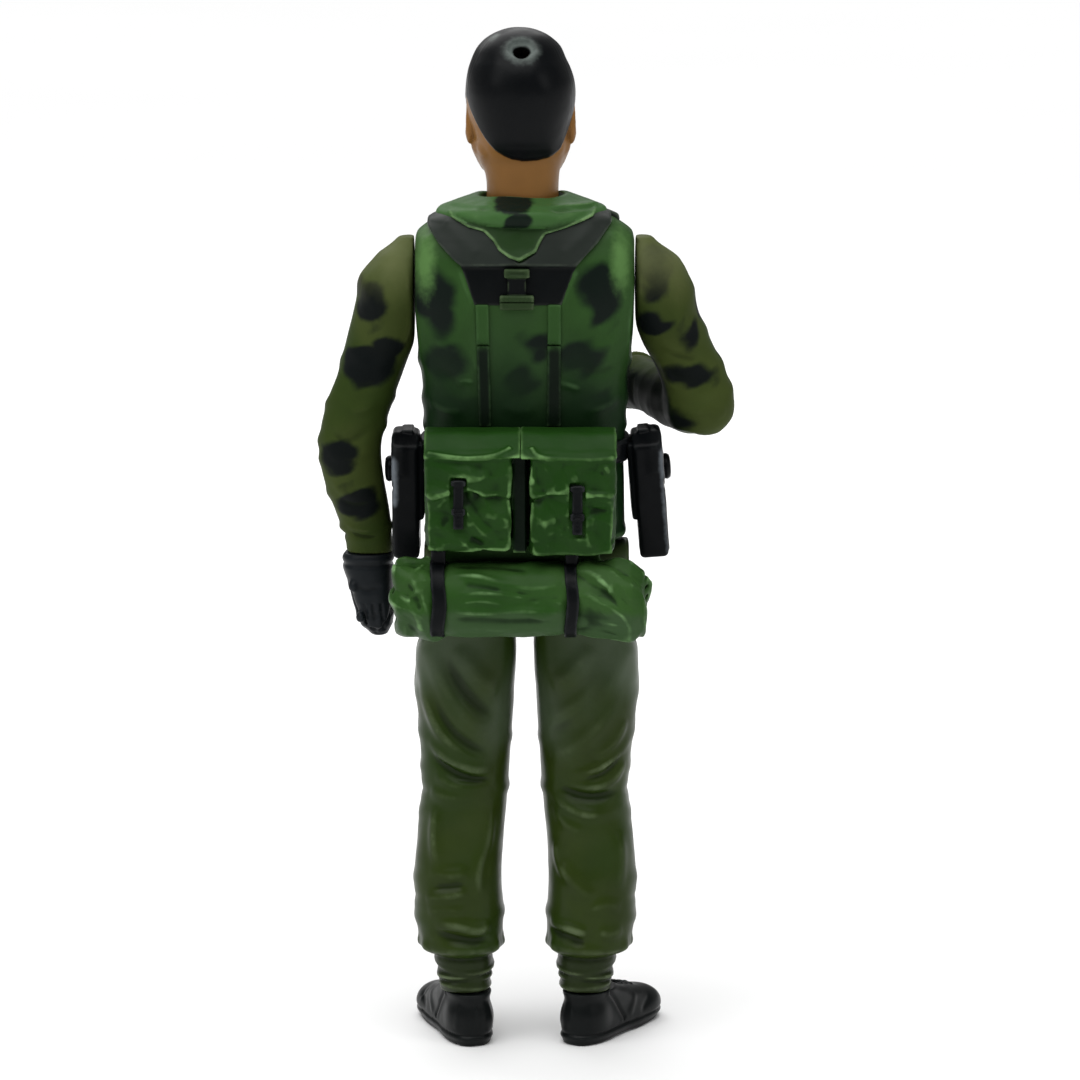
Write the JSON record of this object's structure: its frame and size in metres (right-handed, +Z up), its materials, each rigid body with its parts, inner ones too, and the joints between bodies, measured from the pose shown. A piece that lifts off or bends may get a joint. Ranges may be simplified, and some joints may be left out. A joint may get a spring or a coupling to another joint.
{
  "type": "action figure",
  "caption": "Standing soldier figure with turning head, shoulders and hips, in a camouflage smock with harness, belt pouches, rolled bedding and hip holsters.",
  "frame": {"origin": "ground point between the heels, below the hip joints and in the plane of the soles", "axes": "+Z up, the figure faces -Y, its left side is +X"},
  "size_m": [0.0383, 0.0289, 0.095],
  "materials": {
    "camo_plastic": "satin moulded plastic with black painted camouflage patches",
    "olive_plastic": "satin moulded plastic",
    "kit_green": "satin painted plastic",
    "kit_black": "satin black plastic",
    "strap_grey": "satin dark grey-green plastic",
    "skin_plastic": "satin painted plastic with black painted hair"
  },
  "bodies": {
    "torso": {"torso_front": "camo_plastic", "torso_back": "camo_plastic", "hood": "camo_plastic", "harness_yoke": "strap_grey", "harness_back_straps": "strap_grey", "harness_buckle": "strap_grey", "harness_front_straps": "strap_grey", "waist_belt": "kit_black", "belt_buckle": "kit_black", "back_pouch_left": "kit_green", "back_pouch_right": "kit_green", "pouch_straps": "kit_black", "bedroll": "kit_green", "bedroll_straps": "kit_black", "holster_left": "kit_black", "holster_right": "kit_black", "front_pouch_left": "kit_green", "front_pouch_right": "kit_green"},
    "head": {"head": "skin_plastic"},
    "arm_left": {"arm_left": "camo_plastic", "hand_left": "kit_black"},
    "arm_right": {"arm_right": "camo_plastic", "hand_right": "kit_black"},
    "leg_left": {"leg_left": "olive_plastic", "boot_left": "kit_black"},
    "leg_right": {"leg_right": "olive_plastic", "boot_right": "kit_black"}
  },
  "joints": [
    {"name": "neck_turn", "type": "hinge", "parent": "torso", "child": "head", "pos_m": [0.0002, 0, 0.079], "axis": [0, 0, 1], "continuous": true},
    {"name": "shoulder_left", "type": "hinge", "parent": "torso", "child": "arm_left", "pos_m": [0.0107, 0, 0.071], "axis": [-1, 0, 0], "continuous": true},
    {"name": "shoulder_right", "type": "hinge", "parent": "torso", "child": "arm_right", "pos_m": [-0.0107, 0, 0.071], "axis": [-1, 0, 0], "range_deg": [-4, 240]},
    {"name": "hip_left", "type": "hinge", "parent": "torso", "child": "leg_left", "pos_m": [0.002, 0, 0.0435], "axis": [-1, 0, 0], "range_deg": [-20, 90]},
    {"name": "hip_right", "type": "hinge", "parent": "torso", "child": "leg_right", "pos_m": [-0.002, 0, 0.0435], "axis": [-1, 0, 0], "range_deg": [-20, 90]}
  ]
}
